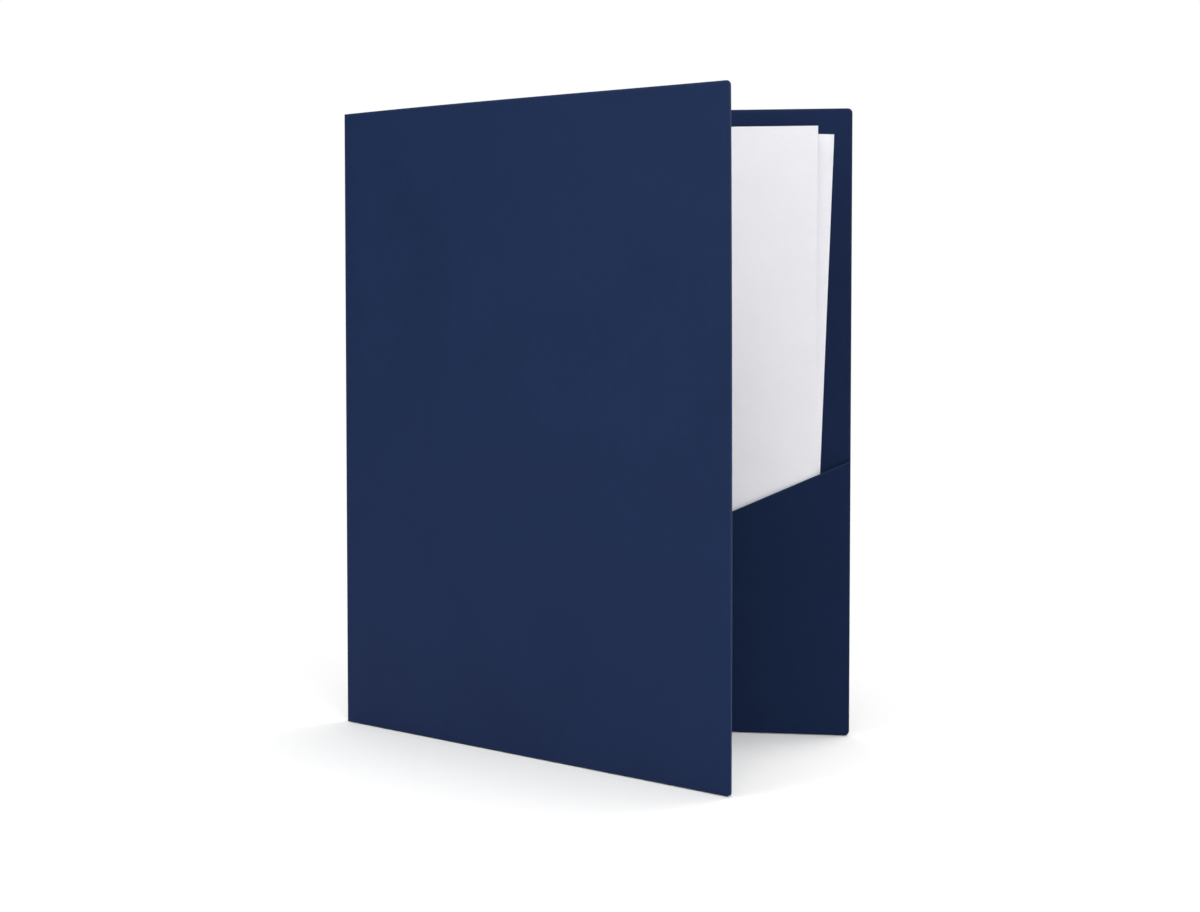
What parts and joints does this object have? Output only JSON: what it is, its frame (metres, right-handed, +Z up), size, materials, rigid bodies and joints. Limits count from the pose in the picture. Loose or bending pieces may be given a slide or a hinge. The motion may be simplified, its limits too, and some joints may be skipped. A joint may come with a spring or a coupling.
{
  "type": "two pocket folder",
  "caption": "Letter-size pocket folder of navy board, standing half open, with slanted glued pockets and loose white sheets in one of them.",
  "frame": {"origin": "middle of the folder's bounding box, on the surface that it stands on", "axes": "+Z up along the spine, +X along the back cover from the spine to its free edge, the front cover opens towards -Y"},
  "size_m": [0.2413, 0.1382, 0.2921],
  "materials": {
    "cover_board": "matte navy board with a fine fibre",
    "sheet_paper": "plain white office paper",
    "adhesive": "dried white glue"
  },
  "bodies": {
    "back_half": {"back_cover": "cover_board", "back_pocket": "cover_board", "back_pocket_fold": "cover_board", "back_side_fold": "cover_board", "back_glue_tab": "cover_board", "back_glue_strip": "adhesive", "spine_fold": "cover_board"},
    "front_half": {"front_cover": "cover_board", "front_pocket": "cover_board", "front_pocket_fold": "cover_board", "front_side_fold": "cover_board", "front_glue_tab": "cover_board", "front_glue_strip": "adhesive"},
    "straight_sheets": {"straight_sheet_1": "sheet_paper", "straight_sheet_2": "sheet_paper", "straight_sheet_3": "sheet_paper", "straight_sheet_4": "sheet_paper", "straight_sheet_5": "sheet_paper", "straight_sheet_6": "sheet_paper"},
    "tilted_sheets": {"tilted_sheet_1": "sheet_paper", "tilted_sheet_2": "sheet_paper", "tilted_sheet_3": "sheet_paper", "tilted_sheet_4": "sheet_paper"}
  },
  "joints": [
    {"name": "cover_hinge", "type": "hinge", "parent": "back_half", "child": "front_half", "pos_m": [-0.11815, 0.06655, 0], "axis": [0, 0, -1], "range_deg": [-34, 146], "deforming": ["spine_fold"]},
    {"name": "straight_sheets_slide", "type": "slide", "parent": "back_half", "child": "straight_sheets", "axis": [0, 0, 1], "range_m": [-0.00365, 0.12427]},
    {"name": "tilted_sheets_slide", "type": "slide", "parent": "back_half", "child": "tilted_sheets", "axis": [0.0366, 0, 0.9993], "range_m": [0, 0.128]}
  ]
}
